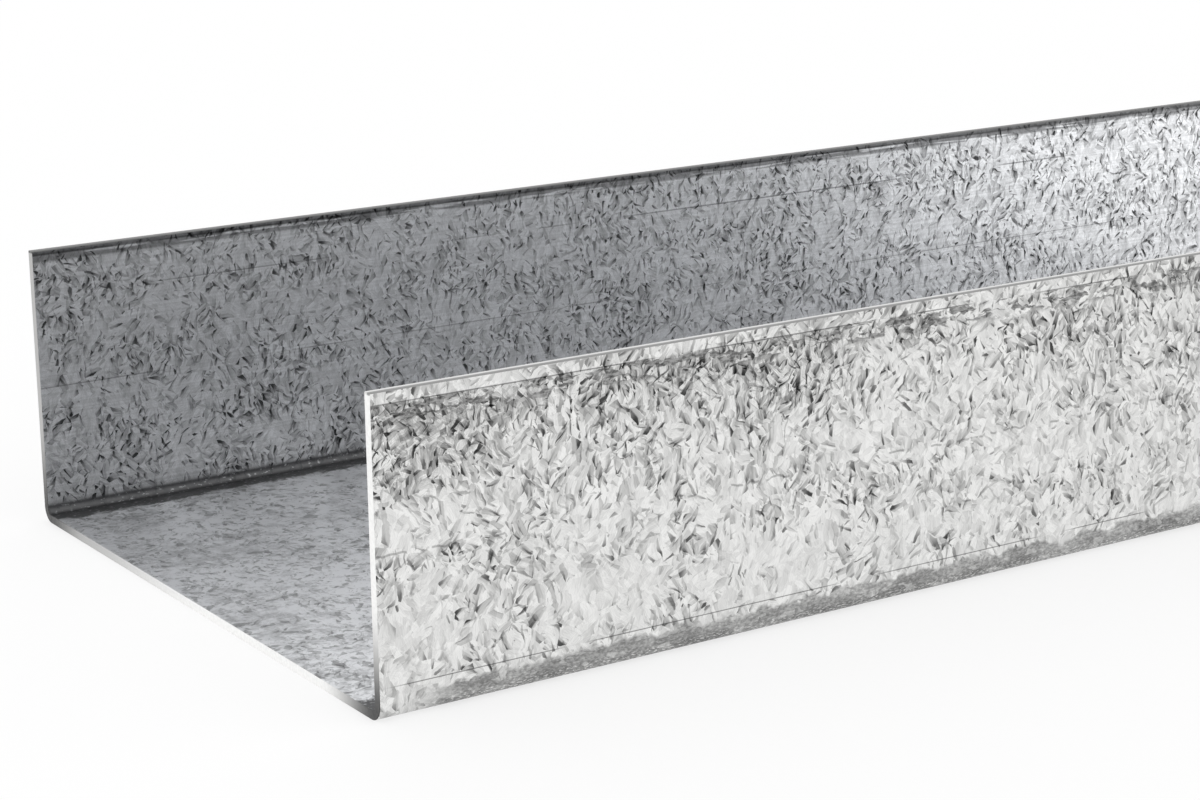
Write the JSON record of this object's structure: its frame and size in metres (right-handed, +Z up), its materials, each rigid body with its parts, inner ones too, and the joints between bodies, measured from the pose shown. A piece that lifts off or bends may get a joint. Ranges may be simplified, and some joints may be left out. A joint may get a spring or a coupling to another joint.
{
  "type": "plain channel section",
  "caption": "Unlipped c-section channel of spangled galvanised sheet, a flat web with two upright flanges, used as a light purlin, rail or framing track.",
  "frame": {"origin": "underside of the web, at the middle of its width and length", "axes": "+X along the length, +Y across the web, +Z up the flanges"},
  "size_m": [2.4, 0.1, 0.04],
  "materials": {
    "galvanised_sheet": "spangled hot-dip galvanised sheet steel"
  },
  "bodies": {
    "root": {"channel_section": "galvanised_sheet"}
  },
  "joints": []
}
